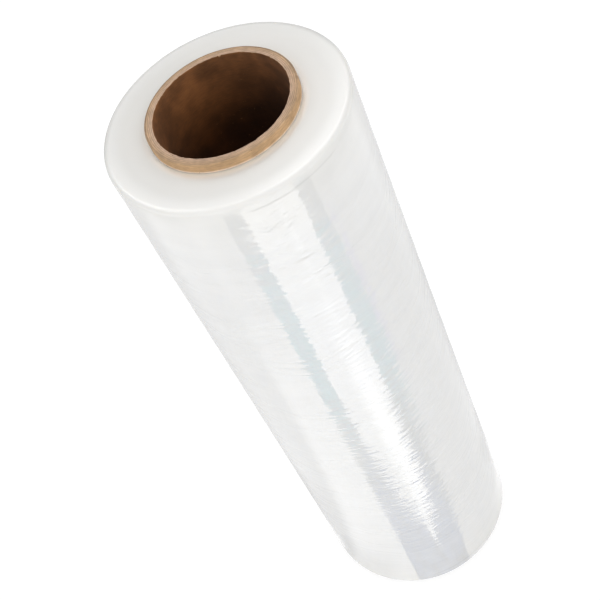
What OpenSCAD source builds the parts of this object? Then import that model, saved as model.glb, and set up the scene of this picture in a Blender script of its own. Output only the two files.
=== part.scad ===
// Roll of clear stretch film wound on a cardboard core.
// It stands on the lower end of its core. The origin is the centre of that end and +Z runs up the core.
// The film's side is a spiral of two half turns, so the last turn ends in a straight free edge.

/* [Film] */
// Width of the film, which is the height of the roll between its end faces
film_width = 450; // [250:10:500]
// Outer diameter of the wound film, at its ends
film_diameter = 140; // [120:1:250]
// Radius of the soft shoulder where the end faces turn into the side
shoulder_radius = 3; // [1:0.5:5]
// How far the side draws in halfway along the width, on the radius
waist_depth = 0.4; // [0.1:0.1:1.5]
// Distance from one gauge band on the side to the next
band_pitch = 30; // [20:5:60]
// Depth of the gauge bands on the side
band_depth = 0.1; // [0.05:0.05:0.3]
// Distance from one winding ring on the end faces to the next
ring_pitch = 1.5; // [1:0.25:4]
// Depth of the grooves between the winding rings
ring_depth = 0.15; // [0.05:0.05:0.4]
// Height of the step at the free edge of the last turn
tail_step = 0.2; // [0.1:0.05:0.5]
// Direction in which the free edge lies, counted from +X
tail_angle = 105; // [0:5:355]

/* [Core] */
// Bore of the core, a standard three inches
core_bore = 76.2; // [50:0.1:80]
// Thickness of the core's wall
core_wall = 5; // [2:0.5:8]
// How far the core stands out of the film at each end
core_proud = 6; // [1:0.5:20]
// Rounding of the core's cut edges
cut_rounding = 0.7; // [0.3:0.1:1]
// Thickness of one paper ply in the core's wall
ply_thickness = 1; // [0.5:0.1:2]
// Depth of the line between two plies on the cut ends
ply_line_depth = 0.15; // [0.05:0.05:0.3]

/* [Hidden] */
// Radii and length of the core
bore_radius = core_bore / 2;
core_radius = bore_radius + core_wall;
core_length = film_width + 2 * core_proud;
// The rounding leaves at least a fifth of the wall flat
core_rounding = min(cut_rounding, 0.4 * core_wall);
ply_count = max(1, round(core_wall / ply_thickness));
ply_width = core_wall / ply_count;
ply_line_width = 0.2;

// The last turn starts one step inside the roll's radius and ends on it
film_radius = film_diameter / 2;
turn_radius = film_radius - tail_step;
shoulder = min(shoulder_radius, 0.3 * (turn_radius - core_radius));
// The flat land between the outermost ring and the shoulder is wide enough for the outer turns,
// whose two halves have centres half a step apart, to lap over the wound body on it
end_land = 4 * tail_step;
ring_edge = turn_radius - shoulder - end_land;
lap_start = ring_edge + tail_step;
lap_end = ring_edge + 3 * tail_step;
ring_count = max(1, round((ring_edge - core_radius) / ring_pitch));
ring_step = (ring_edge - core_radius) / ring_count / 2;
// Each band is a crest and a hollow
side_height = film_width - 2 * shoulder;
band_count = max(1, round(side_height / band_pitch));
band_step = side_height / band_count / 2;

round_steps = 5;
round_fn = 96;
kraft = [0.74, 0.56, 0.38];
milky_film = [0.92, 0.94, 0.94];

// Points of an arc about a centre, from one angle to another
function arc_points(centre, radius, from, to) =
    [for (i = [0 : round_steps])
        let (a = from + (to - from) * i / round_steps)
        centre + radius * [cos(a), sin(a)]];

// A lower outline and its reflection at the other end of a piece of this height
function with_top(lower, height) =
    concat(lower, [for (i = [len(lower) - 1 : -1 : 0]) [lower[i].x, height - lower[i].y]]);

// True where a ply line at this radius stays on the flat of the cut end
function on_flat(r) =
    r - ply_line_width > bore_radius + core_rounding
    && r + ply_line_width < core_radius - core_rounding;

// A small V at each line between two plies
function ply_lines() =
    [for (k = [1 : ply_count - 1])
        let (r = bore_radius + k * ply_width)
        if (on_flat(r))
            each [[r - ply_line_width / 2, 0], [r, ply_line_depth], [r + ply_line_width / 2, 0]]];

// Lower end of the core's wall, from the bore to the outside
function core_end() = concat(
    arc_points([bore_radius + core_rounding, core_rounding], core_rounding, 180, 270),
    ply_lines(),
    arc_points([core_radius - core_rounding, core_rounding], core_rounding, 270, 360));

// Crests and grooves of the winding rings on the lower end face, then the land as far as the lap ends
function ring_end() = concat(
    [for (i = [0 : 2 * ring_count]) [core_radius + i * ring_step, (i % 2) * ring_depth]],
    [[lap_end, 0]]);

// Lower end of the outer turns, with the shoulder round to the side
function turn_end(radius) = concat(
    [[lap_start, 0]],
    arc_points([radius - shoulder, shoulder], shoulder, 270, 360));

// Radius of the side at a share of its height, for a roll of this radius at its ends
function side_radius(radius, share) = radius - waist_depth * (1 - pow(2 * share - 1, 2));

// Hollows and crests of the gauge bands up the side
function side_bands(radius) =
    [for (i = [1 : 2 * band_count - 1])
        [side_radius(radius, i / band_count / 2) - (i % 2) * band_depth, shoulder + i * band_step]];

// Half section of the outer turns, up the side and back down the inside
function turn_section(radius) =
    let (ends = with_top(turn_end(radius), film_width), n = len(ends) / 2)
    concat([for (i = [0 : n - 1]) ends[i]], side_bands(radius), [for (i = [n : 2 * n - 1]) ends[i]]);

// Half of a turn on the +Y side, with this radius about the origin
module half_turn(radius) {
    rotate_extrude(angle = 180, $fn = round_fn)
        polygon(turn_section(radius));
}

// Outer turns: the second half turn swings about a centre half a step away
module outer_turns() {
    half_turn(turn_radius);
    translate([tail_step / 2, 0, 0])
        rotate([0, 0, 180])
            half_turn(turn_radius + tail_step / 2);
}

// Spirally wound paper tube with its plies showing on the cut ends
module core() {
    color(kraft)
        rotate_extrude($fn = round_fn)
            polygon(with_top(core_end(), core_length));
}

// Wound film: the body with its end rings, inside the outer turns
module film_roll() {
    color(milky_film)
        translate([0, 0, core_proud])
            rotate([0, 0, tail_angle]) {
                rotate_extrude($fn = round_fn)
                    polygon(with_top(ring_end(), film_width));
                outer_turns();
            }
}

core();
film_roll();
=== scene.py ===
"""Looks of a roll of stretch film on its cardboard core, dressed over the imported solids."""

import logging
import math
from dataclasses import dataclass, field
from enum import Enum
from typing import Any, Callable

import bpy
from mathutils import Matrix, Vector


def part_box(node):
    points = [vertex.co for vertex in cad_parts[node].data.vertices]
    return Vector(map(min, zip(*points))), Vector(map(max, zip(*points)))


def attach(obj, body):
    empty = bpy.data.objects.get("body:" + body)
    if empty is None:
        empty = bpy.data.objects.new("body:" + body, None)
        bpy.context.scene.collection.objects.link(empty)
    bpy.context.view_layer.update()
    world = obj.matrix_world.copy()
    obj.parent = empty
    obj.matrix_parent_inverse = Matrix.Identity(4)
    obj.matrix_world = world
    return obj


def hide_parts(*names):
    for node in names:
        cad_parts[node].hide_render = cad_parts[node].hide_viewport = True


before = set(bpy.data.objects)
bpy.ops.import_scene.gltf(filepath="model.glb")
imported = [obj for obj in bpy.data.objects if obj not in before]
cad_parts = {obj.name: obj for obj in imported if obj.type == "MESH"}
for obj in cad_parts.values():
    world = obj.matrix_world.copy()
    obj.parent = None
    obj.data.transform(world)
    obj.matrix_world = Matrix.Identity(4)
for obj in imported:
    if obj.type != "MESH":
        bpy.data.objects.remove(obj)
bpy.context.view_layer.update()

log = logging.getLogger("stretch_film_roll")

BODY = "root"
# One millimetre in the metres of the scene
MM = 0.001
# Angle in degrees of the back of the roll, from its front
BACK = 180.0
Colour = tuple[float, float, float]
Point = tuple[float, float]
Place = tuple[float, float, float]
Socket = bpy.types.NodeSocket


class Ray(Enum):
    """Kinds of ray that a studio object can be seen by."""

    CAMERA = "visible_camera"
    DIFFUSE = "visible_diffuse"
    GLOSSY = "visible_glossy"
    TRANSMISSION = "visible_transmission"
    VOLUME = "visible_volume_scatter"
    SHADOW = "visible_shadow"


def rgba(colour: Colour) -> tuple[float, float, float, float]:
    """The colour with a solid alpha."""
    return (*colour, 1.0)


def heading(angle: float) -> float:
    """An angle in degrees from the front of the roll, turned into radians from +X."""
    return math.radians(angle - 90)


class Graph:
    """A node tree being built, with a short call for each kind of node used here."""

    def __init__(self, tree: bpy.types.NodeTree) -> None:
        """Keeps the tree that the calls add to."""
        self.tree = tree

    def feed(self, socket: Socket, value: Any) -> None:
        """Gives an input its value, or the link that brings it.

        Args:
            socket: The input to fill.
            value: An output socket, or a plain value.
        """
        if isinstance(value, bpy.types.NodeSocket):
            self.tree.links.new(value, socket)
        else:
            socket.default_value = value

    def add(self, kind: str, inputs: dict[Any, Any] | None = None, **settings: Any) -> bpy.types.Node:
        """Adds one node.

        Args:
            kind: Blender's type name of the node.
            inputs: Values or links by the input's name or number.
            settings: Properties to set on the node before its inputs.

        Returns:
            The new node.
        """
        node = self.tree.nodes.new(kind)
        for name, value in settings.items():
            setattr(node, name, value)
        for key, value in (inputs or {}).items():
            self.feed(node.inputs[key], value)
        return node

    def maths(self, operation: str, *values: Any) -> Socket:
        """The result of one sum on up to three numbers."""
        return self.add("ShaderNodeMath", dict(enumerate(values)), operation=operation).outputs[0]

    def product(self, *values: Any) -> Socket:
        """Multiplies values.

        Args:
            values: Two values or more.

        Returns:
            All of them multiplied.
        """
        result = values[0]
        for value in values[1:]:
            result = self.maths("MULTIPLY", result, value)
        return result

    def total(self, *values: Any) -> Socket:
        """Adds values.

        Args:
            values: Two values or more.

        Returns:
            All of them added.
        """
        result = values[0]
        for value in values[1:]:
            result = self.maths("ADD", result, value)
        return result

    def ramp(self, value: Any, start: Any, end: Any, low: Any = 0.0, high: Any = 1.0) -> Socket:
        """A smooth step from low to high as the value goes from start to end."""
        names = {"Value": value, "From Min": start, "From Max": end, "To Min": low, "To Max": high}
        return self.add("ShaderNodeMapRange", names, interpolation_type="SMOOTHSTEP").outputs["Result"]

    def vector(self, x: Any, y: Any, z: Any) -> Socket:
        """A vector from its three numbers."""
        return self.add("ShaderNodeCombineXYZ", {0: x, 1: y, 2: z}).outputs[0]

    def parts(self, vector: Socket) -> tuple[Socket, ...]:
        """The three numbers of a vector."""
        return tuple(self.add("ShaderNodeSeparateXYZ", {0: vector}).outputs)

    def reach(self, x: Any, y: Any) -> Socket:
        """Distance from the roll's axis."""
        return self.maths("SQRT", self.total(self.maths("POWER", x, 2.0), self.maths("POWER", y, 2.0)))

    def toward(self, x: Any, y: Any, angle: float) -> Socket:
        """Tells how much a place lies in a direction from the axis.

        Args:
            x: Place along X.
            y: Place along Y.
            angle: The direction, in degrees from the front.

        Returns:
            The cosine of the angle between them.
        """
        a = heading(angle)
        along = self.total(self.product(x, math.cos(a)), self.product(y, math.sin(a)))
        return self.maths("DIVIDE", along, self.reach(x, y))

    def from_front(self, x: Any, y: Any) -> Socket:
        """Angle of a place from the front of the roll, in radians."""
        return self.maths("ARCTAN2", x, self.product(y, -1.0))

    def from_ends(self, z: Any, low: float, high: float) -> Socket:
        """Distance of a height from the nearer of two ends."""
        return self.maths("MINIMUM", self.maths("SUBTRACT", z, low), self.maths("SUBTRACT", high, z))

    def mix(self, factor: Any, first: Any, second: Any) -> Socket:
        """A number between two numbers."""
        return self.add("ShaderNodeMix", {0: factor, 2: first, 3: second}).outputs[0]

    def dimmed(self, mask: Any, shade: float) -> Socket:
        """A brightness that is 1 outside a mask and the shade inside it."""
        return self.ramp(mask, 0.0, 1.0, 1.0, shade)

    def bump(self, height: Any) -> Socket:
        """A normal from a height in millimetres."""
        return self.add("ShaderNodeBump", {"Strength": 1.0, "Distance": MM, "Height": height}).outputs[0]

    def show(self, shader: Socket) -> None:
        """Puts a shader on the surface of the graph's material."""
        self.feed(self.tree.nodes["Material Output"].inputs["Surface"], shader)

    def noise(self, vector: Any, scale: float, detail: Any, seed: Any) -> Socket:
        """A soft noise between 0 and 1, set apart from others by its seed."""
        inputs = {"Vector": vector, "W": seed, "Scale": scale, "Detail": detail}
        return self.add("ShaderNodeTexNoise", inputs, noise_dimensions="4D").outputs[0]

    def blend(self, factor: Any, first: Any, second: Any, kind: str = "MIX") -> Socket:
        """A colour between two colours."""
        node = self.add("ShaderNodeMix", {0: factor, 6: first, 7: second}, data_type="RGBA", blend_type=kind)
        return node.outputs[2]

    def tint(self, colour: Any, shade: Any) -> Socket:
        """A colour multiplied by a brightness."""
        return self.blend(1.0, colour, self.vector(shade, shade, shade), "MULTIPLY")


class Fields:
    """Named inputs of a geometry tree, with the values that its modifier gives them."""

    def __init__(self, name: str) -> None:
        """Makes the tree, which takes and gives geometry.

        Args:
            name: Name of the tree.
        """
        self.tree = bpy.data.node_groups.new(name, "GeometryNodeTree")
        self.tree.interface.new_socket("Geometry", in_out="INPUT", socket_type="NodeSocketGeometry")
        self.tree.interface.new_socket("Geometry", in_out="OUTPUT", socket_type="NodeSocketGeometry")
        self.values: dict[str, Any] = {}

    def take(self, name: str, value: Any) -> None:
        """Makes one input and notes its value.

        Args:
            name: Name of the input.
            value: Value for the modifier to set.
        """
        kinds = {int: "NodeSocketInt", float: "NodeSocketFloat", bpy.types.Material: "NodeSocketMaterial"}
        socket = self.tree.interface.new_socket(name, in_out="INPUT", socket_type=kinds[type(value)])
        self.values[socket.identifier] = value

    def hand_to(self, modifier: bpy.types.NodesModifier) -> None:
        """Gives a modifier the tree, and every value by its socket's identifier.

        Args:
            modifier: The modifier that runs the tree.
        """
        modifier.node_group = self.tree
        for identifier, value in self.values.items():
            modifier[identifier] = value


def arc(centre: Point, radius: float, start: float, end: float, steps: int) -> list[Point]:
    """Points of a round edge.

    Args:
        centre: Radius and height of the arc's centre.
        radius: Radius of the arc.
        start: First angle in degrees, counted from outwards to upwards.
        end: Last angle in degrees.
        steps: Number of pieces that the arc is cut into.

    Returns:
        The points from the first angle to the last.
    """
    angles = [math.radians(start + (end - start) * i / steps) for i in range(steps + 1)]
    return [(centre[0] + radius * math.cos(a), centre[1] + radius * math.sin(a)) for a in angles]


def line(start: Point, end: Point, steps: int) -> list[Point]:
    """Points between two ends of a straight line, without the ends."""
    shares = [i / steps for i in range(1, steps)]
    return [(start[0] + (end[0] - start[0]) * s, start[1] + (end[1] - start[1]) * s) for s in shares]


def reflected(lower: list[Point], low: float, high: float) -> list[Point]:
    """The same outline at the upper end, in reverse order."""
    return [(r, low + high - z) for r, z in reversed(lower)]


@dataclass
class Turned:
    """Sockets of a section that a tree has turned about the axis."""

    mesh: Socket
    radius: Socket
    height: Socket
    share: Socket
    closing: Socket


@dataclass
class TurnedPiece:
    """A section that a geometry tree turns about the roll's axis.

    The last two columns lie a hair apart, so that a step between them is sharp. Points closer than
    the weld become one, and edges that bend by more degrees than the sharp angle stay hard.
    """

    name: str
    columns: int
    section: list[Point]
    fields: Fields
    weld: float = 1e-6
    sharp_angle: float = 50.0

    def start(self, finish: bpy.types.Material) -> tuple[Graph, bpy.types.Node, Turned]:
        """Starts the tree: a grid of columns round the axis and rows along the section.

        Args:
            finish: Material of the piece.

        Returns:
            The tree's graph, its input node, and the grid with each point's place.
        """
        self.fields.take("Columns", self.columns)
        self.fields.take("Rows", len(self.section))
        self.fields.take("Finish", finish)
        graph = Graph(self.fields.tree)
        given = graph.add("NodeGroupInput")
        columns, rows = given.outputs["Columns"], given.outputs["Rows"]
        counts = {"Vertices X": graph.total(columns, 1.0), "Vertices Y": rows}
        grid = graph.add("GeometryNodeMeshGrid", counts)
        index = graph.add("GeometryNodeInputIndex").outputs[0]
        column = graph.maths("FLOOR", graph.maths("DIVIDE", graph.total(index, 0.5), rows))
        row = graph.maths("SUBTRACT", index, graph.product(column, rows))
        place = graph.add("GeometryNodeSampleIndex", data_type="FLOAT_VECTOR", domain="POINT")
        graph.feed(place.inputs["Geometry"], given.outputs["Geometry"])
        graph.feed(place.inputs["Value"], graph.add("GeometryNodeInputPosition").outputs[0])
        graph.feed(place.inputs["Index"], graph.maths("ROUND", row))
        radius, _, height = graph.parts(place.outputs[0])
        last = graph.maths("SUBTRACT", columns, 1.0)
        share = graph.maths("MINIMUM", graph.maths("DIVIDE", column, last), 1.0)
        closing = graph.maths("GREATER_THAN", column, graph.total(last, 0.5))
        return graph, given, Turned(grid.outputs["Mesh"], radius, height, share, closing)

    def finish(self, graph: Graph, given: bpy.types.Node, turned: Turned, place: Socket) -> None:
        """Moves the grid to its place, closes its seams and gives it its finish.

        Args:
            graph: The tree's graph.
            given: Its input node.
            turned: The grid.
            place: Position of each point.
        """
        moved = graph.add("GeometryNodeSetPosition", {"Geometry": turned.mesh, "Position": place})
        seam = {"Geometry": moved.outputs[0], "Distance": self.weld}
        joined = graph.add("GeometryNodeMergeByDistance", seam)
        smooth = graph.add("GeometryNodeSetShadeSmooth", {"Geometry": joined.outputs[0]})
        bend = graph.add("GeometryNodeInputMeshEdgeAngle").outputs["Unsigned Angle"]
        corners = {"Geometry": smooth.outputs[0], "Shade Smooth": False,
                   "Selection": graph.maths("GREATER_THAN", bend, math.radians(self.sharp_angle))}
        edged = graph.add("GeometryNodeSetShadeSmooth", corners, domain="EDGE")
        whole = graph.add("GeometryNodeRealizeInstances", {"Geometry": edged.outputs[0]})
        dressed = graph.add("GeometryNodeSetMaterial", {"Geometry": whole.outputs[0]})
        graph.feed(dressed.inputs["Material"], given.outputs["Finish"])
        graph.feed(graph.add("NodeGroupOutput").inputs[0], dressed.outputs[0])

    def make(self) -> bpy.types.Object:
        """Runs the tree on the section.

        Returns:
            The piece, with the result as a plain mesh.
        """
        strand = bpy.data.meshes.new(self.name)
        edges = [(i, i + 1) for i in range(len(self.section) - 1)]
        strand.from_pydata([(r, 0.0, z) for r, z in self.section], edges, [])
        piece = bpy.data.objects.new(self.name, strand)
        bpy.context.scene.collection.objects.link(piece)
        modifier = piece.modifiers.new("turned", "NODES")
        self.fields.hand_to(modifier)
        graph = bpy.context.evaluated_depsgraph_get()
        made = bpy.data.meshes.new_from_object(piece.evaluated_get(graph), depsgraph=graph)
        piece.modifiers.remove(modifier)
        piece.data = made
        bpy.data.meshes.remove(strand)
        made.name = self.name
        log.info("%s: %d faces", piece.name, len(made.polygons))
        return piece


# The soft noise by which streaks drift up and down
DRIFT_SCALE = 35.0
DRIFT_DETAIL = 1.0


def streak_group() -> bpy.types.NodeTree:
    """The streaks that winding leaves, long round the roll and fine across it.

    Returns:
        A group that puts out a height between 0 and 1.
    """
    name = "winding_streaks"
    if name in bpy.data.node_groups:
        return bpy.data.node_groups[name]
    tree = bpy.data.node_groups.new(name, "ShaderNodeTree")
    for label in ("Round", "Across", "Drift", "Seed", "Detail"):
        tree.interface.new_socket(label, in_out="INPUT", socket_type="NodeSocketFloat")
    tree.interface.new_socket("Height", in_out="OUTPUT", socket_type="NodeSocketFloat")
    graph = Graph(tree)
    given = graph.add("NodeGroupInput")
    seed, detail = given.outputs["Seed"], given.outputs["Detail"]
    place = graph.add("ShaderNodeTexCoord").outputs["Object"]
    x, y, z = graph.parts(place)
    wander = graph.maths("SUBTRACT", graph.noise(place, DRIFT_SCALE, DRIFT_DETAIL, seed), 0.5)
    level = graph.total(graph.reach(x, y), z, graph.product(wander, given.outputs["Drift"]))
    stretched = [graph.product(value, given.outputs["Round"]) for value in (x, y)]
    across = graph.product(level, given.outputs["Across"])
    height = graph.noise(graph.vector(*stretched, across), 1.0, detail, seed)
    graph.feed(graph.add("NodeGroupOutput").inputs[0], height)
    return tree


@dataclass(frozen=True)
class Streaks:
    """One layer of winding streaks: counts per metre round and across, drift and depth in metres."""

    round_count: float
    across_count: float
    drift: float
    depth: float
    seed: float
    detail: float = 2.0

    def place(self, graph: Graph) -> Socket:
        """Puts the layer in a material.

        Args:
            graph: The material's graph.

        Returns:
            Its height between 0 and 1.
        """
        node = graph.add("ShaderNodeGroup", node_tree=streak_group())
        values = {"Round": self.round_count, "Across": self.across_count, "Drift": self.drift,
                  "Seed": self.seed, "Detail": self.detail}
        for name, value in values.items():
            node.inputs[name].default_value = value
        return node.outputs["Height"]

    def height(self, graph: Graph) -> Socket:
        """Puts the layer in a material and gives its height in millimetres."""
        return graph.product(self.place(graph), self.depth / MM)


@dataclass(frozen=True)
class SlackZone:
    """Part of the side where the film is wound more loosely and wrinkles more."""

    low: float = 50 * MM
    high: float = 290 * MM
    fade: float = 50 * MM

    def mask(self, graph: Graph, z: Any) -> Socket:
        """Tells where the zone lies.

        Args:
            graph: The graph that asks.
            z: Height of the place.

        Returns:
            From 0 outside the zone to 1 inside it.
        """
        rise = graph.ramp(z, self.low, self.low + self.fade)
        fall = graph.ramp(z, self.high - self.fade, self.high, 1.0, 0.0)
        return graph.product(rise, fall)


def new_finish(name: str) -> tuple[bpy.types.Material, Graph]:
    """Makes a bare material.

    Args:
        name: Name of the material.

    Returns:
        The material and its graph.
    """
    material = bpy.data.materials.new(name)
    material.use_nodes = True
    return material, Graph(material.node_tree)


def lay_sheet(name: str, points: list[Place], faces: list[tuple[int, ...]], material: bpy.types.Material,
              rays: tuple[Ray, ...]) -> None:
    """Makes a sheet of the studio, which isn't part of the roll.

    Args:
        name: Name of the sheet.
        points: Its corners.
        faces: Its faces, by the numbers of their corners.
        material: Its material.
        rays: Kinds of ray that see it.
    """
    mesh = bpy.data.meshes.new(name)
    mesh.from_pydata(points, [], faces)
    mesh.materials.append(material)
    sheet = bpy.data.objects.new(name, mesh)
    bpy.context.scene.collection.objects.link(sheet)
    for ray in Ray:
        setattr(sheet, ray.value, ray in rays)


@dataclass(frozen=True)
class Fade:
    """A smooth change from a low to a high value as a measure goes from a start to an end."""

    start: float
    end: float
    low: float = 0.0
    high: float = 1.0

    def of(self, graph: Graph, measure: Any, base: float = 0.0) -> Socket:
        """The value at a measure, with the start and the end counted from a base."""
        return graph.ramp(measure, base + self.start, base + self.end, self.low, self.high)


@dataclass(frozen=True)
class Unevenness:
    """A soft uneven pattern: its scale, its detail and the seed that sets it apart."""

    scale: float
    detail: float
    seed: float

    def level(self, graph: Graph, place: Any) -> Socket:
        """The pattern at a place, between 0 and 1."""
        return graph.noise(place, self.scale, self.detail, self.seed)

    def swing(self, graph: Graph, place: Any, width: float) -> Socket:
        """The pattern at a place, as a value of this width about 0."""
        return graph.product(graph.maths("SUBTRACT", self.level(graph, place), 0.5), width)


@dataclass(frozen=True)
class FilmFinish:
    """Glossy stretch film, milky where many clear layers lie on each other.

    Fades of reach count from the outside of the core or of the film, fades of ends from the nearer
    end face, the gloss's fade from the lip, and fades named behind go from the front of the roll
    at -1 to its back at 1.
    """

    side_colour: Colour = (0.836, 0.836, 0.830)
    # Painted glow of light coming through the film near its outer edge and near each end of the side
    rim_glow_colour: Colour = (0.838, 0.832, 0.812)
    end_colour: Colour = (0.787, 0.778, 0.752)
    # Painted shade of the proud core on the film beside it, partly the brown core showing through
    shaded_by_core: Colour = (0.745, 0.732, 0.70)
    # Painted warm glow of light that the core throws on the film at its foot, stronger at the front
    painted_foot_glow: Colour = (1.0, 0.90, 0.79)
    end_reach: Fade = Fade(-3 * MM, 14 * MM)
    rim_reach: Fade = Fade(-13 * MM, -4 * MM)
    side_ends: Fade = Fade(2 * MM, 45 * MM)
    foot_reach: Fade = Fade(0.3 * MM, 5.5 * MM, 1.0, 0.0)
    foot_behind: Fade = Fade(-0.8, 0.0, 1.0, 0.25)
    # Painted shade on the outer rim of the end faces at the back of the roll
    far_reach: Fade = Fade(-5 * MM, -2 * MM)
    far_ends: Fade = Fade(1 * MM, 4 * MM, 1.0, 0.0)
    far_behind: Fade = Fade(-0.2, 0.5)
    far_rim_shade: float = 0.86
    cloud: Streaks = Streaks(20.0, 90.0, 10 * MM, 0.0, 5.0)
    cloud_tint: Fade = Fade(0.3, 0.7, 0.985, 1.0)
    smears: Streaks = Streaks(26.0, 130.0, 8 * MM, 0.0, 16.0)
    smear_tint: Fade = Fade(0.3, 0.65, 0.98, 1.0)
    scatter_reach: float = 4 * MM
    scatter_share: Colour = (1.0, 0.97, 0.92)
    ior: float = 1.75
    scuffs: Streaks = Streaks(24.0, 420.0, 6 * MM, 0.0, 6.0)
    scuff_roughness: Fade = Fade(0.35, 0.7, 0.02, 0.07)
    end_roughness: float = 0.25
    gloss_start: Fade = Fade(-2.5 * MM, 0.5 * MM)
    side_reach: Fade = Fade(-3 * MM, -1 * MM)
    fine: Streaks = Streaks(60.0, 1000.0, 4 * MM, 0.012 * MM, 1.0)
    middling: Streaks = Streaks(85.0, 330.0, 12 * MM, 0.29 * MM, 2.0, 0.5)
    middling_ends: Fade = Fade(3 * MM, 60 * MM, 0.4, 1.0)
    slack: Streaks = Streaks(75.0, 400.0, 12 * MM, 0.38 * MM, 3.0, 1.5)
    zone: SlackZone = SlackZone()
    patch_count: float = 3.0
    patch_turn: float = -8.0
    patch_depth: Fade = Fade(-0.9, 0.8, 0.2, 1.15)
    crease: Streaks = Streaks(9.0, 60.0, 12 * MM, 0.08 * MM, 4.0)
    crease_width: Fade = Fade(0.0, 0.045, 1.0, 0.0)
    crease_ends: Fade = Fade(25 * MM, 60 * MM)
    lip_place: float = 7 * MM
    lip_angle: float = 12.0
    lip_round: Fade = Fade(0.88, 0.97)
    lip_width: Fade = Fade(0.0, 1.2 * MM, 1.0, 0.0)
    lip_wander: Unevenness = Unevenness(30.0, 2.0, 14.0)
    lip_swing: float = 1.5 * MM
    # Painted shade in the lip line, which darkens the film's colour there
    lip_shade: float = 0.93
    lip_sink: float = 0.5
    soft_edge: Fade = Fade(-10 * MM, 1 * MM, 0.0, -0.5)

    def tone(self, graph: Graph, reach: Any, ends: Any, behind: Any, core_radius: float,
             film_radius: float) -> Socket:
        """Colour of the film: darker beside the core, as painted shade and where the brown core shows
        through, with a painted warm glow at the core's foot, a painted creamy glow near the outer edge and
        ends, and painted shade on the far rim.

        Args:
            graph: The material's graph.
            reach: Distance from the axis.
            ends: Distance from the nearer end face.
            behind: 1 at the back of the roll and -1 at its front.
            core_radius: Outer radius of the core.
            film_radius: Outer radius of the film.

        Returns:
            The colour.
        """
        # Painted shade beside the core, fading out toward the outer edge
        by_reach = self.end_reach.of(graph, reach, core_radius)
        body = graph.blend(by_reach, rgba(self.shaded_by_core), rgba(self.end_colour))
        # Painted glow near the outer edge, carried a little way down the side near each end
        body = graph.blend(self.rim_reach.of(graph, reach, film_radius), body, rgba(self.rim_glow_colour))
        body = graph.blend(self.side_ends.of(graph, ends), body, rgba(self.side_colour))
        # Painted warm glow at the core's foot, mostly at the front of the roll
        foot = graph.product(self.foot_reach.of(graph, reach, core_radius),
                             self.foot_behind.of(graph, behind))
        glowing = graph.blend(foot, body, rgba(self.painted_foot_glow))
        # Painted shade on the far rim, at the back of the roll only
        far = graph.product(self.far_reach.of(graph, reach, film_radius), self.far_ends.of(graph, ends),
                            self.far_behind.of(graph, behind))
        clouded = self.cloud_tint.of(graph, self.cloud.place(graph))
        return graph.tint(glowing, graph.product(clouded, graph.dimmed(far, self.far_rim_shade)))

    def creases(self, graph: Graph) -> Socket:
        """Long thin creases round the roll, from 0 beside a crease to 1 in it."""
        off = graph.maths("ABSOLUTE", graph.maths("SUBTRACT", self.crease.place(graph), 0.5))
        return self.crease_width.of(graph, off)

    def lip(self, graph: Graph, ends: Any, x: Any, y: Any) -> Socket:
        """A faint line where the outer layers end short of the roll's edge, in one direction only, sunk as a
        groove and darkened in colour as painted shade.

        Args:
            graph: The material's graph.
            ends: Distance from the nearer end face.
            x: Place along X.
            y: Place along Y.

        Returns:
            From 0 beside the line to 1 in it.
        """
        wander = self.lip_wander.swing(graph, graph.vector(x, y, 0.0), self.lip_swing)
        off = graph.maths("ABSOLUTE", graph.maths("SUBTRACT", graph.total(ends, wander), self.lip_place))
        there = self.lip_round.of(graph, graph.toward(x, y, self.lip_angle))
        return graph.product(there, self.lip_width.of(graph, off))

    def patches(self, graph: Graph, x: Any, y: Any) -> Socket:
        """How wrinkled the film is round the roll: most at three sides, and calmer between them."""
        angle = graph.total(graph.from_front(x, y), math.radians(self.patch_turn))
        return self.patch_depth.of(graph, graph.maths("COSINE", graph.product(angle, self.patch_count)))

    def build(self, core_radius: float, film_radius: float, low: float, high: float) -> bpy.types.Material:
        """Makes the material, on Object coordinates.

        Args:
            core_radius: Outer radius of the core, where the film starts.
            film_radius: Outer radius of the film.
            low: Height of the lower end face.
            high: Height of the upper end face.

        Returns:
            The material.
        """
        material, graph = new_finish("stretch_film")
        shader = material.node_tree.nodes["Principled BSDF"]
        x, y, z = graph.parts(graph.add("ShaderNodeTexCoord").outputs["Object"])
        reach, ends = graph.reach(x, y), graph.from_ends(z, low, high)
        side = self.side_reach.of(graph, reach, film_radius)
        lip = self.lip(graph, ends, x, y)
        tone = self.tone(graph, reach, ends, graph.toward(x, y, BACK), core_radius, film_radius)
        smeared = graph.mix(side, 1.0, self.smear_tint.of(graph, self.smears.place(graph)))
        # The lip line is darkened as painted shade; the smears are the film's own uneven tone
        shade = graph.product(smeared, graph.dimmed(lip, self.lip_shade))
        graph.feed(shader.inputs["Base Color"], graph.tint(tone, shade))
        scuffed = self.scuff_roughness.of(graph, self.scuffs.place(graph))
        glossy = self.gloss_start.of(graph, ends, self.lip_place)
        graph.feed(shader.inputs["Roughness"], graph.mix(glossy, self.end_roughness, scuffed))
        slack = graph.product(self.slack.height(graph), self.zone.mask(graph, z))
        taut = graph.product(self.middling.height(graph), self.middling_ends.of(graph, ends))
        rough = graph.product(graph.total(taut, slack, self.fine.height(graph)), self.patches(graph, x, y))
        creases = graph.product(self.creases(graph), self.crease_ends.of(graph, ends))
        sunk = graph.maths("MAXIMUM", creases, graph.product(lip, self.lip_sink))
        crease = graph.product(sunk, -self.crease.depth / MM)
        soft_edge = self.soft_edge.of(graph, reach, film_radius)
        height = graph.total(graph.product(graph.total(rough, crease), side), soft_edge)
        graph.feed(shader.inputs["Normal"], graph.bump(height))
        shader.inputs["IOR"].default_value = self.ior
        shader.inputs["Subsurface Weight"].default_value = 1.0
        shader.inputs["Subsurface Radius"].default_value = self.scatter_share
        shader.inputs["Subsurface Scale"].default_value = self.scatter_reach
        return material


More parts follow.
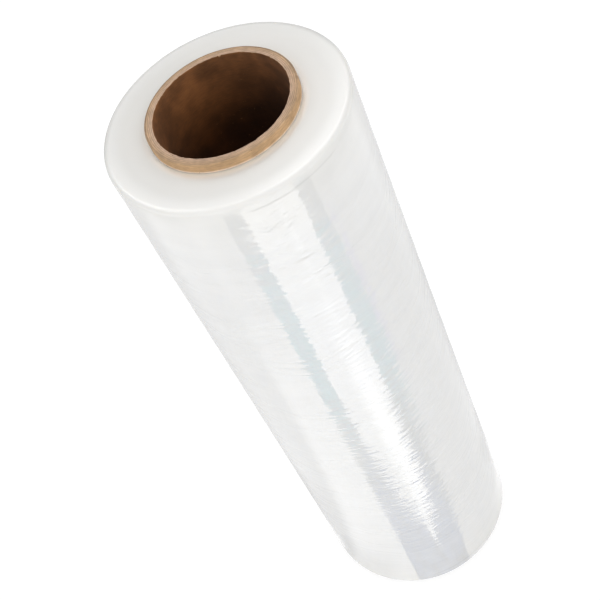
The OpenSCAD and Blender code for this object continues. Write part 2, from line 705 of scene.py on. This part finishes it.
@dataclass(frozen=True)
class BoardFinish:
    """Kraft board of the core: golden outside, pinker on the cut plies and brown in the bore, with painted
    shade that deepens down the bore.

    Fades of reach count from the bore's wall or the core's outside, and fades of ends from the
    nearer cut end, but the halo, a painted pale glow at the core's foot, counts from where the
    core leaves the film.
    """

    wall: Colour = (0.56, 0.36, 0.195)
    cut_inner: Colour = (0.62, 0.42, 0.29)
    cut_outer: Colour = (0.56, 0.365, 0.21)
    bore: Colour = (0.27, 0.107, 0.034)
    # Painted shade deep in the bore, where little light reaches
    bore_deep_shade: Colour = (0.085, 0.026, 0.004)
    bore_ends: Fade = Fade(0.0, 55 * MM)
    # Painted pale glow of light from the film on the core's wall just above it
    halo: Colour = (0.96, 0.80, 0.64)
    halo_ends: Fade = Fade(-1.3 * MM, 0.0, 0.0, 0.95)
    fleck: Colour = (0.20, 0.09, 0.03)
    flecks: Unevenness = Unevenness(600.0, 2.0, 10.0)
    fleck_share: Fade = Fade(0.66, 0.72, 0.0, 0.55)
    torn: Unevenness = Unevenness(350.0, 3.0, 23.0)
    torn_swing: float = 1.6 * MM
    lining_reach: Fade = Fade(0.35 * MM, 0.65 * MM, 1.0, 0.0)
    lining_lap: float = 0.18
    cut_facing: Fade = Fade(0.35, 0.8)
    fibres: Streaks = Streaks(260.0, 1500.0, 2 * MM, 0.06 * MM, 7.0)
    fibre_shade: Fade = Fade(0.3, 0.7, 0.84, 1.1)
    fibre_roughness: Fade = Fade(0.2, 0.8, 0.75, 0.9)
    mottle: Unevenness = Unevenness(120.0, 4.0, 8.0)
    mottle_shade: Fade = Fade(0.3, 0.7, 0.86, 1.1)
    mottle_depth: float = 0.12 * MM
    patches: Unevenness = Unevenness(45.0, 3.0, 9.0)
    patch_shade: Fade = Fade(0.36, 0.64, 0.68, 1.16)
    # Painted shadow inside the bore, darkest toward this angle
    shadow_angle: float = 125.0
    shadow: Fade = Fade(0.3, 0.9, 1.0, 0.68)
    ply_count: int = 5
    ply_wander: Unevenness = Unevenness(250.0, 3.0, 4.0)
    ply_swing: float = 0.35
    ply_width: Fade = Fade(0.02, 0.16, 1.0, 0.0)
    ply_shade: float = 0.62
    ply_depth: float = 0.12 * MM
    # Painted shade along the outer edge of each cut end, faint at the front and full at the back
    edge_reach: Fade = Fade(-1.2 * MM, -0.7 * MM)
    edge_ends: Fade = Fade(0.4 * MM, 0.8 * MM, 1.0, 0.0)
    edge_behind: Fade = Fade(-0.6, 0.3, 0.3, 1.0)
    edge_shade: float = 0.66
    shine: float = 0.3

    def plies(self, graph: Graph, place: Any, reach: Any, bore_radius: float, core_radius: float) -> Socket:
        """Lines between the plies on the cut ends.

        Args:
            graph: The material's graph.
            place: The place on the core.
            reach: Distance from the axis.
            bore_radius: Radius of the bore.
            core_radius: Outer radius of the core.

        Returns:
            From 0 beside a line to 1 in it.
        """
        ply = (core_radius - bore_radius) / self.ply_count
        count = graph.maths("DIVIDE", graph.maths("SUBTRACT", reach, bore_radius), ply)
        wander = self.ply_wander.swing(graph, place, self.ply_swing)
        return self.ply_width.of(graph, graph.maths("PINGPONG", graph.total(count, wander), 0.5))

    def build(self, bore_radius: float, core_radius: float, low: float, high: float,
              proud: float) -> bpy.types.Material:
        """Makes the material, on Object coordinates.

        Args:
            bore_radius: Radius of the bore.
            core_radius: Outer radius of the core.
            low: Height of the core's lower end.
            high: Height of its upper end.
            proud: How far it stands out of the film.

        Returns:
            The material.
        """
        material, graph = new_finish("kraft_board")
        shader = material.node_tree.nodes["Principled BSDF"]
        coords = graph.add("ShaderNodeTexCoord").outputs
        place = coords["Object"]
        x, y, z = graph.parts(place)
        reach, ends = graph.reach(x, y), graph.from_ends(z, low, high)
        facing = graph.maths("ABSOLUTE", graph.parts(coords["Normal"])[2])
        torn = graph.total(reach, self.torn.swing(graph, place, self.torn_swing))
        inner = self.lining_reach.of(graph, torn, bore_radius)
        lapped = graph.maths("SUBTRACT", facing, graph.product(inner, self.lining_lap))
        end = self.cut_facing.of(graph, lapped)
        inside = graph.product(inner, graph.maths("SUBTRACT", 1.0, end))
        outward = graph.ramp(reach, bore_radius, core_radius)
        cut = graph.blend(outward, rgba(self.cut_inner), rgba(self.cut_outer))
        # Painted pale glow on the lowest part of the outside wall, just above the film
        outside = graph.blend(self.halo_ends.of(graph, ends, proud), rgba(self.wall), rgba(self.halo))
        # The bore darkens with depth from each end as painted shade
        hollow = graph.blend(self.bore_ends.of(graph, ends), rgba(self.bore), rgba(self.bore_deep_shade))
        base = graph.blend(inside, graph.blend(end, outside, cut), hollow)
        fibre, mottle = self.fibres.place(graph), self.mottle.level(graph, place)
        grain = graph.product(self.fibre_shade.of(graph, fibre), self.mottle_shade.of(graph, mottle))
        # Blotches of the board's own colour in the bore, with painted shadow toward one side
        patches_and_shadow = graph.product(self.patch_shade.of(graph, self.patches.level(graph, place)),
                             self.shadow.of(graph, graph.toward(x, y, self.shadow_angle)))
        lines = graph.product(self.plies(graph, place, reach, bore_radius, core_radius), end)
        # Painted shade on the cut ends' outer edge, strongest at the back of the roll
        edge = graph.product(self.edge_reach.of(graph, reach, core_radius), self.edge_ends.of(graph, ends),
                             self.edge_behind.of(graph, graph.toward(x, y, BACK)))
        shade = graph.product(grain, graph.mix(inside, 1.0, patches_and_shadow), graph.dimmed(lines, self.ply_shade),
                              graph.dimmed(edge, self.edge_shade))
        fleck = self.fleck_share.of(graph, self.flecks.level(graph, place))
        graph.feed(shader.inputs["Base Color"], graph.blend(fleck, graph.tint(base, shade), rgba(self.fleck)))
        graph.feed(shader.inputs["Roughness"], self.fibre_roughness.of(graph, fibre))
        height = graph.total(graph.product(fibre, self.fibres.depth / MM),
                             graph.product(mottle, self.mottle_depth / MM),
                             graph.product(lines, -self.ply_depth / MM))
        graph.feed(shader.inputs["Normal"], graph.bump(height))
        shader.inputs["Specular IOR Level"].default_value = self.shine
        return material


@dataclass
class FilmRoll:
    """The wound film: a section of its turns, turned as a spiral about the core."""

    core_radius: float
    radius: float
    low: float
    high: float
    shoulder: float = 3 * MM
    shoulder_steps: int = 8
    waist_depth: float = 0.4 * MM
    band_pitch: float = 30 * MM
    band_depth: float = 0.1 * MM
    ring_pitch: float = 1.5 * MM
    ring_depth: float = 0.05 * MM
    tail_step: float = 0.2 * MM
    tail_angle: float = 105.0
    tail_slit: float = 0.03
    wrinkles: Unevenness = Unevenness(1.0, 2.0, 11.0)
    wrinkle_depth: float = 0.03 * MM
    wrinkles_round: float = 4.6
    wrinkles_up: float = 150.0
    slack: Unevenness = Unevenness(1.0, 1.0, 12.0)
    slack_depth: float = 0.06 * MM
    slack_up: float = 210.0
    columns: int = 184
    side_rows: int = 430
    finish: FilmFinish = field(default_factory=FilmFinish)

    @property
    def turn_radius(self) -> float:
        """Radius at which the last turn starts."""
        return self.radius - self.tail_step

    def end_outline(self) -> list[Point]:
        """The lower end of the half section.

        Returns:
            The end face with its winding rings, and the shoulder up to the side.
        """
        edge = self.turn_radius - self.shoulder
        steps = 2 * max(1, round((edge - self.core_radius) / self.ring_pitch))
        step = (edge - self.core_radius) / steps
        rings = [(self.core_radius + step * i, self.low + (i % 2) * self.ring_depth) for i in range(steps)]
        return rings + arc((edge, self.low + self.shoulder), self.shoulder, 270, 360, self.shoulder_steps)

    def side_outline(self) -> list[Point]:
        """The side of the half section.

        Returns:
            The points between the shoulders, drawn in at the middle and banded.
        """
        start, height = self.low + self.shoulder, self.high - self.low - 2 * self.shoulder
        bands = round(height / self.band_pitch)
        points = []
        for i in range(1, self.side_rows):
            share = i / self.side_rows
            waist = self.waist_depth * (1 - (2 * share - 1) ** 2)
            band = self.band_depth * (0.5 - 0.5 * math.cos(2 * math.pi * bands * share))
            points.append((self.turn_radius - waist - band, start + height * share))
        return points

    def section(self) -> list[Point]:
        """The closed half section.

        Returns:
            The points from the core outwards, up and back in.
        """
        lower = self.end_outline()
        upper = reflected(lower, self.low, self.high)
        return [*lower, *self.side_outline(), *upper, lower[0]]

    def wind(self) -> TurnedPiece:
        """Makes the tree that winds the section.

        Returns:
            The piece, wrinkled on its side and with a step at the film's free edge.
        """
        fields = Fields("wound_film")
        fields.take("Shoulder Start", self.turn_radius - self.shoulder)
        fields.take("Turn Radius", self.turn_radius)
        fields.take("Tail Angle", math.radians(self.tail_angle))
        fields.take("Tail Step", self.tail_step)
        fields.take("Slit", math.radians(self.tail_slit))
        fields.take("Wrinkle Depth", self.wrinkle_depth)
        fields.take("Slack Depth", self.slack_depth)
        piece = TurnedPiece("wound_film", self.columns, self.section(), fields)
        finish = self.finish.build(self.core_radius, self.radius, self.low, self.high)
        graph, given, turned = piece.start(finish)
        take = given.outputs
        swept = graph.product(turned.share, graph.maths("SUBTRACT", math.tau, take["Slit"]))
        angle = graph.total(swept, graph.product(turned.closing, take["Slit"]), take["Tail Angle"])
        cosine, sine = graph.maths("COSINE", angle), graph.maths("SINE", angle)
        outer = graph.ramp(turned.radius, take["Shoulder Start"], take["Turn Radius"])
        grown = graph.product(graph.maths("SUBTRACT", turned.share, turned.closing), take["Tail Step"])
        around = [graph.product(value, self.wrinkles_round) for value in (cosine, sine)]
        wrinkled = graph.vector(*around, graph.product(turned.height, self.wrinkles_up))
        slackened = graph.vector(*around, graph.product(turned.height, self.slack_up))
        wrinkles = graph.product(self.wrinkles.level(graph, wrinkled), take["Wrinkle Depth"])
        slack = graph.product(self.slack.level(graph, slackened), take["Slack Depth"],
                              self.finish.zone.mask(graph, turned.height))
        change = graph.product(graph.maths("SUBTRACT", grown, graph.total(wrinkles, slack)), outer)
        reach = graph.total(turned.radius, change)
        place = graph.vector(graph.product(reach, cosine), graph.product(reach, sine), turned.height)
        piece.finish(graph, given, turned, place)
        return piece

    def build(self) -> bpy.types.Object:
        """Makes the wound film in place of the CAD solid.

        Returns:
            The piece.
        """
        piece = self.wind().make()
        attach(piece, BODY)
        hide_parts("film_roll")
        return piece


@dataclass
class CoreTube:
    """The spirally wound cardboard tube, with plies and a slightly ragged cut at each end."""

    radius: float
    low: float
    high: float
    proud: float
    wall: float = 5 * MM
    rounding: float = 0.7 * MM
    rounding_steps: int = 6
    ply_count: int = 5
    ply_line_depth: float = 0.15 * MM
    ply_line_share: float = 0.2
    cut_end: Fade = Fade(0.2 * MM, 1.5 * MM, 1.0, 0.0)
    ragged: Unevenness = Unevenness(1.0, 3.0, 21.0)
    ragged_depth: float = 0.22 * MM
    ragged_round: float = 9.0
    ragged_across: float = 900.0
    fray: Unevenness = Unevenness(1.0, 3.0, 22.0)
    fray_share: Fade = Fade(0.45, 0.75)
    fray_depth: float = 0.55 * MM
    fray_reach: float = 1.2 * MM
    fray_round: float = 14.0
    columns: int = 224
    cut_rows: int = 18
    wall_rows: int = 60
    finish: BoardFinish = field(default_factory=BoardFinish)

    @property
    def bore_radius(self) -> float:
        """Radius of the bore."""
        return self.radius - self.wall

    def end_outline(self) -> list[Point]:
        """The lower cut end of the half section.

        Returns:
            The points from the bore to the outside, with a line at each ply.
        """
        flat_low, flat_high = self.bore_radius + self.rounding, self.radius - self.rounding
        height = self.low + self.rounding
        inner = arc((flat_low, height), self.rounding, 180, 270, self.rounding_steps)
        outer = arc((flat_high, height), self.rounding, 270, 360, self.rounding_steps)
        ply = self.wall / self.ply_count
        points = []
        for i in range(1, self.cut_rows):
            reach = flat_low + (flat_high - flat_low) * i / self.cut_rows
            off = abs((reach - self.bore_radius) / ply - round((reach - self.bore_radius) / ply))
            sunk = self.ply_line_depth * max(0.0, 1 - off / self.ply_line_share)
            points.append((reach, self.low + sunk))
        return inner + points + outer

    def section(self) -> list[Point]:
        """The closed half section.

        Returns:
            The points out along the lower cut, up, back in and down the bore.
        """
        lower = self.end_outline()
        upper = reflected(lower, self.low, self.high)
        outside = line(lower[-1], upper[0], self.wall_rows)
        inside = line(upper[-1], lower[0], self.wall_rows)
        return [*lower, *outside, *upper, *inside, lower[0]]

    def wind(self) -> TurnedPiece:
        """Makes the tree that turns the section.

        Returns:
            The piece, roughened on its cut ends and frayed at its bore.
        """
        fields = Fields("paper_tube")
        fields.take("Middle", (self.low + self.high) / 2)
        fields.take("Half Length", (self.high - self.low) / 2)
        fields.take("Bore Radius", self.bore_radius)
        fields.take("Ragged Depth", self.ragged_depth)
        fields.take("Fray Depth", self.fray_depth)
        piece = TurnedPiece("paper_tube", self.columns, self.section(), fields)
        finish = self.finish.build(self.bore_radius, self.radius, self.low, self.high, self.proud)
        graph, given, turned = piece.start(finish)
        take = given.outputs
        angle = graph.product(turned.share, math.tau)
        cosine, sine = graph.maths("COSINE", angle), graph.maths("SINE", angle)
        above = graph.maths("SUBTRACT", turned.height, take["Middle"])
        side = graph.maths("SIGN", above)
        ends = graph.maths("SUBTRACT", take["Half Length"], graph.maths("ABSOLUTE", above))
        near_end = self.cut_end.of(graph, ends)
        around = [graph.product(value, self.ragged_round) for value in (cosine, sine)]
        across = graph.product(turned.radius, self.ragged_across)
        rough = self.ragged.level(graph, graph.vector(*around, across))
        sunk = graph.product(rough, take["Ragged Depth"], near_end, side)
        around = [graph.product(value, self.fray_round) for value in (cosine, sine)]
        torn = self.fray_share.of(graph, self.fray.level(graph, graph.vector(*around, side)))
        fray_end = graph.total(take["Bore Radius"], self.fray_reach)
        inner = graph.ramp(turned.radius, take["Bore Radius"], fray_end, 1.0, 0.0)
        reach = graph.total(turned.radius, graph.product(torn, take["Fray Depth"], near_end, inner))
        height = graph.maths("SUBTRACT", turned.height, sunk)
        place = graph.vector(graph.product(reach, cosine), graph.product(reach, sine), height)
        piece.finish(graph, given, turned, place)
        return piece

    def build(self) -> bpy.types.Object:
        """Makes the tube in place of the CAD solid.

        Returns:
            The piece.
        """
        piece = self.wind().make()
        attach(piece, BODY)
        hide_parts("core")
        return piece


@dataclass(frozen=True)
class PhotoCamera:
    """The photograph's camera, found by fitting the roll's outlines."""

    place: Place = (-0.0098, -0.4975, 0.8689)
    look_down: float = 49.2
    roll: float = 27.2
    lens: float = 72.57
    sensor: float = 36.0

    def build(self) -> None:
        """Makes the camera and gives it to the scene."""
        data = bpy.data.cameras.new("photo_camera")
        data.lens = self.lens
        data.sensor_width = self.sensor
        camera = bpy.data.objects.new("photo_camera", data)
        tilt = Matrix.Rotation(math.radians(90 - self.look_down), 4, "X")
        roll = Matrix.Rotation(math.radians(-self.roll), 4, "Z")
        camera.matrix_world = Matrix.Translation(self.place) @ tilt @ roll
        bpy.context.scene.collection.objects.link(camera)
        bpy.context.scene.camera = camera


@dataclass(frozen=True)
class Hill:
    """A ridge along a card: angles where it rises and falls, reach where it ends, and its strength."""

    rise: Point
    fall: Point
    end: Point
    level: float
    rest: float = 0.4

    def strength(self, graph: Graph, x: Any, y: Any) -> Socket:
        """What the ridge adds to the card's strength.

        Args:
            graph: The card's graph.
            x: Place along X.
            y: Place along Y.

        Returns:
            The change of strength at the place.
        """
        angle = graph.from_front(x, y)
        rise, fall = (tuple(math.radians(a) for a in edge) for edge in (self.rise, self.fall))
        across = graph.product(graph.ramp(angle, *rise), graph.ramp(angle, *fall, 1.0, self.rest))
        return graph.product(across, graph.ramp(graph.reach(x, y), *self.end, 1.0, 0.0), self.level)


@dataclass(frozen=True)
class Card:
    """A card that lies on the floor and is seen only in reflections.

    Its two edges are points of reach from the axis and angle from the front, and its colour
    goes through stops of reach and colour. It may have a ridge of another strength, an uneven
    strength, and patches of another colour.
    """

    name: str
    left: tuple[Point, ...]
    right: tuple[Point, ...]
    stops: tuple[tuple[float, Colour], ...]
    strength: float = 1.0
    lift: float = 1 * MM
    hill: Hill | None = None
    mottle: float = 0.0
    mottling: Unevenness = Unevenness(110.0, 2.0, 31.0)
    patch: Colour | None = None
    patching: Unevenness = Unevenness(42.0, 1.0, 32.0)
    patch_share: Fade = Fade(0.5, 0.58, 0.0, 0.75)

    def finish(self) -> bpy.types.Material:
        """Makes the glowing material.

        Returns:
            The material, with its colour by reach.
        """
        material, graph = new_finish(self.name)
        x, y, _ = graph.parts(graph.add("ShaderNodeTexCoord").outputs["Object"])
        colour: Any = rgba(self.stops[0][1])
        for (start, _), (end, shade) in zip(self.stops, self.stops[1:]):
            colour = graph.blend(graph.ramp(graph.reach(x, y), start, end), colour, rgba(shade))
        if self.patch:
            patchy = self.patch_share.of(graph, self.patching.level(graph, graph.vector(x, y, 0.0)))
            colour = graph.blend(patchy, colour, rgba(self.patch))
        strength: Any = self.strength
        if self.hill:
            strength = graph.total(self.hill.strength(graph, x, y), strength)
        if self.mottle:
            uneven = self.mottling.swing(graph, graph.vector(x, y, 0.0), self.mottle)
            strength = graph.total(uneven, strength)
        graph.show(graph.add("ShaderNodeEmission", {"Color": colour, "Strength": strength}).outputs[0])
        return material

    def build(self, turn: float) -> None:
        """Lays the card.

        Args:
            turn: Angle in degrees by which the card is turned about the axis.
        """
        points = []
        for reach, angle in (*self.left, *reversed(self.right)):
            a = heading(angle + turn)
            points.append((reach * math.cos(a), reach * math.sin(a), self.lift))
        faces = [tuple(range(len(points)))]
        lay_sheet(f"{self.name}_{turn:.0f}", points, faces, self.finish(), (Ray.GLOSSY,))


GREY_CARD = (0.43, 0.47, 0.45)
DIM_GREY_CARD = (0.36, 0.39, 0.38)
TEAL_CARD = (0.02, 0.60, 0.72)
SLATE_CARD = (0.22, 0.30, 0.52)
BLUE_PATCH = (0.26, 0.36, 0.60)
LILAC_CARD = (0.70, 0.67, 1.05)
COOL_CARD = (0.93, 0.95, 1.0)
WHITE_CARD = (1.0, 1.0, 1.0)
BRIGHT_CARD = (1.18, 1.18, 1.16)

FRONT_CARDS = (
    Card(
        "dark_card",
        ((0.071, -22.5), (0.084, -26), (0.111, -30.7), (0.157, -35), (0.24, -38.6), (0.357, -40.8),
         (0.60, -43)),
        ((0.071, 13.5), (0.080, 15.5), (0.095, 19.5), (0.112, 24), (0.124, 25.5), (0.18, 30.5), (0.261, 38),
         (0.294, 41), (0.371, 42.3), (0.434, 40), (0.60, 38.5)),
        ((0.07, SLATE_CARD), (0.145, SLATE_CARD), (0.17, GREY_CARD), (0.235, GREY_CARD), (0.265, TEAL_CARD),
         (0.41, TEAL_CARD), (0.45, GREY_CARD), (0.52, DIM_GREY_CARD)),
        lift=0.6 * MM, hill=Hill((18, 26), (60, 80), (0.22, 0.28), -0.45), mottle=3.0, patch=BLUE_PATCH,
    ),
    Card(
        "highlight_card",
        ((0.100, -1.4), (0.113, -3.4), (0.125, -5.6), (0.131, -8), (0.138, -11.3), (0.158, -15.4),
         (0.181, -19.3), (0.197, -21.6), (0.242, -23.6), (0.358, -24.9), (0.60, -25.8)),
        ((0.100, 0.4), (0.113, 1.6), (0.125, 4.6), (0.131, 7), (0.138, 10), (0.158, 13), (0.181, 15.2),
         (0.197, 17.2), (0.252, 20.8), (0.372, 23), (0.60, 24.3)),
        ((0.1, (0.6,) * 3), (0.13, (0.66,) * 3), (0.16, (0.8,) * 3), (0.19, (0.88,) * 3),
         (0.25, (0.88,) * 3), (0.3, COOL_CARD), (0.45, WHITE_CARD), (0.54, BRIGHT_CARD)),
        strength=2.1, hill=Hill((-10, 4), (6, 16), (0.27, 0.38), 1.3),
    ),
    Card(
        "line_card", ((0.38, 3.6), (0.515, 3.6)), ((0.38, 7.4), (0.515, 8.0)), ((0.4, WHITE_CARD),),
        strength=2.7, lift=1.4 * MM,
    ),
    Card(
        "haze_card", ((0.25, 34.5), (0.371, 41.5), (0.46, 44)),
        ((0.25, 36), (0.292, 46.4), (0.371, 50), (0.46, 46)), ((0.2, LILAC_CARD),), lift=0.4 * MM,
    ),
)
BACK_CARDS = (
    Card("glint_card", ((0.12, -1), (0.3, -6), (0.6, -7)), ((0.12, 1), (0.3, 6), (0.6, 7)),
         ((0.1, WHITE_CARD),), strength=1.5, lift=1.4 * MM),
)
FAR_CARDS = (
    Card("far_dark_card", ((0.62, -34), (2.6, -34)), ((0.62, 34), (2.6, 34)), ((0.6, GREY_CARD),)),
    Card("far_bright_card", ((0.62, -19), (2.6, -19)), ((0.62, 19), (2.6, 19)), ((0.6, WHITE_CARD),),
         strength=1.3, lift=1.4 * MM),
)
# Each set of cards, with the angles in degrees at which it is laid
LAID_CARDS = ((FRONT_CARDS, (0.0,)), (BACK_CARDS, (180.0,)), (FAR_CARDS, (0.0, 90.0, 180.0, 270.0)))


@dataclass(frozen=True)
class FloorTone:
    """A lighter or darker part of the floor, toward one angle.

    It fades in as the cosine of the angle from its direction rises, and in and out again with the reach.
    """

    angle: float
    cosines: Point
    rise: Point
    fall: Point
    strength: float

    def level(self, graph: Graph, x: Any, y: Any) -> Socket:
        """What this part adds to the floor's strength.

        Args:
            graph: The floor's graph.
            x: Place along X.
            y: Place along Y.

        Returns:
            The change of strength at the place.
        """
        reach = graph.reach(x, y)
        along = graph.product(graph.ramp(reach, *self.rise), graph.ramp(reach, *self.fall, 1.0, 0.0))
        return graph.product(graph.ramp(graph.toward(x, y, self.angle), *self.cosines), along, self.strength)


@dataclass(frozen=True)
class Surround:
    """What the film reflects beyond the cards: a floor that dims behind the roll, walls and a panel above.

    The floor's fades go by reach or, where named round, by the cosine of the angle from a direction.
    The panel's fades go by X for left and spot, and by Y for near, back and front.
    """

    lift: float = 0.2 * MM
    sides: int = 48
    floor_reach: float = 3.0
    dim_angle: float = 184.0
    dim_round: Fade = Fade(0.3, 0.8, 1.03, 0.84)
    glow_angle: float = -50.0
    glow_round: Fade = Fade(0.85, 0.96)
    glow_rise: Fade = Fade(0.085, 0.16, 0.45, 1.0)
    glow_fall: Fade = Fade(0.26, 0.42, 1.0, 0.25)
    glow_level: float = 0.6
    flank_round: Fade = Fade(0.80, 0.95)
    flank_rise: Fade = Fade(0.33, 0.50)
    flank_level: float = 0.26
    tones: tuple[FloorTone, ...] = (
        FloorTone(-62.0, (0.87, 0.98), (0.0, 0.01), (0.078, 0.105), -0.36),
        FloorTone(-104.0, (0.84, 0.97), (0.078, 0.084), (0.11, 0.16), -0.2),
        FloorTone(80.0, (0.87, 0.97), (0.0, 0.01), (0.077, 0.084), 0.12),
        FloorTone(103.0, (0.88, 0.98), (0.082, 0.088), (0.105, 0.12), -0.16),
        FloorTone(138.0, (0.8, 0.97), (0.0, 0.01), (0.25, 0.35), -0.1),
    )
    wall_height: float = 1.7
    wall_rise: float = 0.5
    wall_foot: Fade = Fade(-1.0, 1.0, 0.95, 0.45)
    panel_height: float = 2.0
    panel_size: tuple[float, float, float] = (1.8, -0.8, 2.4)
    panel_base: float = 0.9
    near_start: Fade = Fade(-0.8, 0.3)
    near_end: Fade = Fade(1.8, 2.1, 1.0, 0.0)
    near_level: float = 0.7
    left_side: Fade = Fade(-0.65, -0.35, 1.2, 0.0)
    left_back: Fade = Fade(0.5, 1.0)
    spot_start: Fade = Fade(0.0, 0.15)
    spot_end: Fade = Fade(0.3, 1.0, 1.0, 0.4)
    spot_level: float = 1.3
    front: Fade = Fade(1.1, 1.5, 0.9, 0.0)

    def floor_level(self, graph: Graph, x: Any, y: Any, _: Any) -> Socket:
        """Strength of the floor.

        Args:
            graph: The floor's graph.
            x: Place along X.
            y: Place along Y.

        Returns:
            The strength at the place.
        """
        reach = graph.reach(x, y)
        dimmed = self.dim_round.of(graph, graph.toward(x, y, self.dim_angle))
        rise = graph.product(self.glow_rise.of(graph, reach), self.glow_fall.of(graph, reach))
        glow = graph.product(self.glow_round.of(graph, graph.toward(x, y, self.glow_angle)), rise)
        sideways = graph.maths("DIVIDE", graph.maths("ABSOLUTE", x), reach)
        flank = graph.product(self.flank_round.of(graph, sideways), self.flank_rise.of(graph, reach))
        tones = (tone.level(graph, x, y) for tone in self.tones)
        return graph.total(dimmed, graph.product(glow, self.glow_level),
                           graph.product(flank, self.flank_level), *tones)

    def wall_level(self, graph: Graph, _: Any, y: Any, z: Any) -> Socket:
        """Strength of the wall, dimmer at its foot and there dimmer behind the roll."""
        foot = self.wall_foot.of(graph, y)
        return graph.ramp(z, self.wall_rise * self.wall_height, self.wall_height, foot, 1.0)

    def panel_level(self, graph: Graph, x: Any, y: Any, _: Any) -> Socket:
        """Strength of the panel.

        Args:
            graph: The panel's graph.
            x: Place along X.
            y: Place along Y.

        Returns:
            The strength at the place.
        """
        nearby = graph.product(self.near_start.of(graph, y), self.near_end.of(graph, y))
        left = graph.product(self.left_side.of(graph, x), self.left_back.of(graph, y))
        spot = graph.product(self.spot_start.of(graph, x), self.spot_end.of(graph, x), self.spot_level)
        brighter = graph.total(left, spot, self.front.of(graph, y), self.near_level)
        return graph.total(graph.product(nearby, brighter), self.panel_base)

    @staticmethod
    def glow(name: str, points: list[Place], faces: list[tuple[int, ...]],
             level: Callable[..., Socket]) -> None:
        """Makes one glowing sheet that only reflections see.

        Args:
            name: Name of the sheet.
            points: Its corners.
            faces: Its faces, by the numbers of their corners.
            level: Gives its strength from its graph and a place's three numbers.
        """
        material, graph = new_finish(name)
        place = graph.parts(graph.add("ShaderNodeTexCoord").outputs["Object"])
        graph.show(graph.add("ShaderNodeEmission", {"Strength": level(graph, *place)}).outputs[0])
        lay_sheet(name, points, faces, material, (Ray.GLOSSY,))

    def ring(self, height: float) -> list[Place]:
        """Points of the wall's ring at a height."""
        angles = [math.tau * i / self.sides for i in range(self.sides)]
        return [(self.floor_reach * math.cos(a), self.floor_reach * math.sin(a), height) for a in angles]

    def build(self) -> None:
        """Sets up the dimmed floor, the walls and the panel."""
        n = self.sides
        self.glow("dim_floor", self.ring(self.lift), [tuple(range(n))], self.floor_level)
        walls = [(i, (i + 1) % n, n + (i + 1) % n, n + i) for i in range(n)]
        self.glow("wall", self.ring(self.lift) + self.ring(self.wall_height), walls, self.wall_level)
        half, near, far = self.panel_size
        corners = ((-half, near), (half, near), (half, far), (-half, far))
        points = [(x, y, self.panel_height) for x, y in corners]
        self.glow("panel", points, [(0, 1, 2, 3)], self.panel_level)


@dataclass(frozen=True)
class Lamp:
    """A soft rectangular lamp that looks at the roll."""

    name: str
    place: Place
    size: tuple[float, float]
    watts: float
    colour: Colour = (1.0, 1.0, 1.0)

    def build(self, target: Vector) -> None:
        """Hangs the lamp, unseen in reflections, which are left to the cards.

        Args:
            target: Point that it looks at.
        """
        data = bpy.data.lights.new(self.name, "AREA")
        data.shape = "RECTANGLE"
        data.size, data.size_y = self.size
        data.energy = self.watts
        data.color = self.colour
        lamp = bpy.data.objects.new(self.name, data)
        lamp.location = self.place
        lamp.rotation_mode = "QUATERNION"
        lamp.rotation_quaternion = (target - Vector(self.place)).to_track_quat("-Z", "Y")
        lamp.visible_glossy = False
        bpy.context.scene.collection.objects.link(lamp)


@dataclass
class Studio:
    """White floor, soft lamps and the cards that the film reflects."""

    floor_size: float = 12.0
    floor_colour: Colour = (0.86, 0.86, 0.86)
    floor_lift: float = 0.8
    floor_share: float = 0.28
    sky: float = 0.85
    lamps: tuple[Lamp, ...] = (
        Lamp("front_softbox", (0.6, -1.2, 1.4), (0.7, 0.7), 3.2),
        Lamp("left_softbox", (-1.4, -1.2, 0.3), (0.6, 0.4), 3.6),
    )

    @staticmethod
    def unlit(graph: Graph) -> Socket:
        """Tells the rays that see the backdrop from those that it lights.

        Args:
            graph: The graph of the floor or the world.

        Returns:
            1 for the rays that see it.
        """
        path = graph.add("ShaderNodeLightPath").outputs
        seen = graph.maths("MAXIMUM", path["Is Camera Ray"], path["Is Transmission Ray"])
        return graph.maths("MAXIMUM", seen, path["Is Glossy Ray"])

    def floor(self) -> None:
        """Lays the floor, which looks white and keeps the roll's shadow."""
        material, graph = new_finish("floor")
        real = graph.add("ShaderNodeBsdfDiffuse", {"Color": rgba(self.floor_colour)})
        faint = graph.add("ShaderNodeBsdfDiffuse", {"Color": rgba((self.floor_share,) * 3)})
        glow = graph.add("ShaderNodeEmission", {"Strength": self.floor_lift})
        lifted = graph.add("ShaderNodeAddShader", {0: faint.outputs[0], 1: glow.outputs[0]})
        seen = {0: self.unlit(graph), 1: real.outputs[0], 2: lifted.outputs[0]}
        graph.show(graph.add("ShaderNodeMixShader", seen).outputs[0])
        half = self.floor_size / 2
        points = [(-half, -half, 0), (half, -half, 0), (half, half, 0), (-half, half, 0)]
        lay_sheet("floor", points, [(0, 1, 2, 3)], material, tuple(Ray))

    def world(self) -> None:
        """Lights the scene evenly from all round, with white behind it."""
        world = bpy.data.worlds.new("studio")
        world.use_nodes = True
        bpy.context.scene.world = world
        graph = Graph(world.node_tree)
        sky = world.node_tree.nodes["Background"]
        graph.feed(sky.inputs["Strength"], graph.mix(self.unlit(graph), self.sky, 1.0))
        sky.inputs["Color"].default_value = rgba((1.0, 1.0, 1.0))

    def build(self, target: Vector) -> None:
        """Sets up the studio.

        Args:
            target: Point that the lamps look at.
        """
        self.floor()
        self.world()
        for lamp in self.lamps:
            lamp.build(target)
        Surround().build()
        for cards, turns in LAID_CARDS:
            for turn in turns:
                for card in cards:
                    card.build(turn)
        bpy.context.scene.view_settings.view_transform = "Standard"


def main() -> None:
    """Builds the camera, the studio and the roll."""
    logging.basicConfig(level=logging.INFO, format="%(message)s")
    core_low, core_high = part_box("core")
    film_low, film_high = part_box("film_roll")
    PhotoCamera().build()
    Studio().build((core_low + core_high) / 2)
    CoreTube(core_high.x, core_low.z, core_high.z, core_high.z - film_high.z).build()
    FilmRoll(core_high.x, max(film_high.x, film_high.y), film_low.z, film_high.z).build()


if __name__ == "__main__":
    main()
